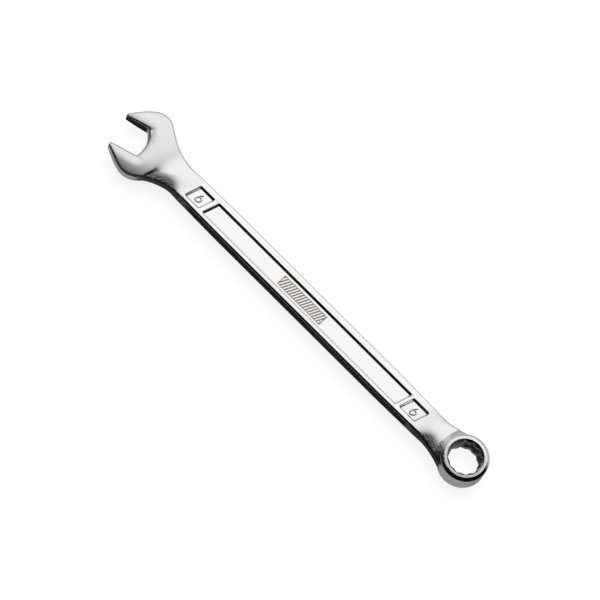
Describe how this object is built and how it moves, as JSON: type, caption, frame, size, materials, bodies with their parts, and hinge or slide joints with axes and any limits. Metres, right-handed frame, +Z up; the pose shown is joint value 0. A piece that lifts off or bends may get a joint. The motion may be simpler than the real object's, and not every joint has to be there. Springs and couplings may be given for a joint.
{
  "type": "combination wrench",
  "caption": "Slim one-piece combination wrench: open jaws set at an angle on one end, a round ring with a broached hole in line on the other, and a shank with sunk panels on both faces.",
  "frame": {"origin": "under the middle of the bounding box, on the flat surface that the ring's underside lies on", "axes": "+X along the shank from the open jaws to the ring, +Z up out of the upper panel face, +Y to the left of a reader who looks along +X"},
  "size_m": [0.0996, 0.0148, 0.0053],
  "materials": {
    "chrome_plate": "bright chrome plate on forged steel, satin on the open head, the jaws and the ring's side wall"
  },
  "bodies": {
    "root": {"right_jaw": "chrome_plate", "left_jaw": "chrome_plate", "open_end_head": "chrome_plate", "open_end_neck": "chrome_plate", "shank": "chrome_plate", "box_end_neck": "chrome_plate", "box_end_ring": "chrome_plate"}
  },
  "joints": []
}
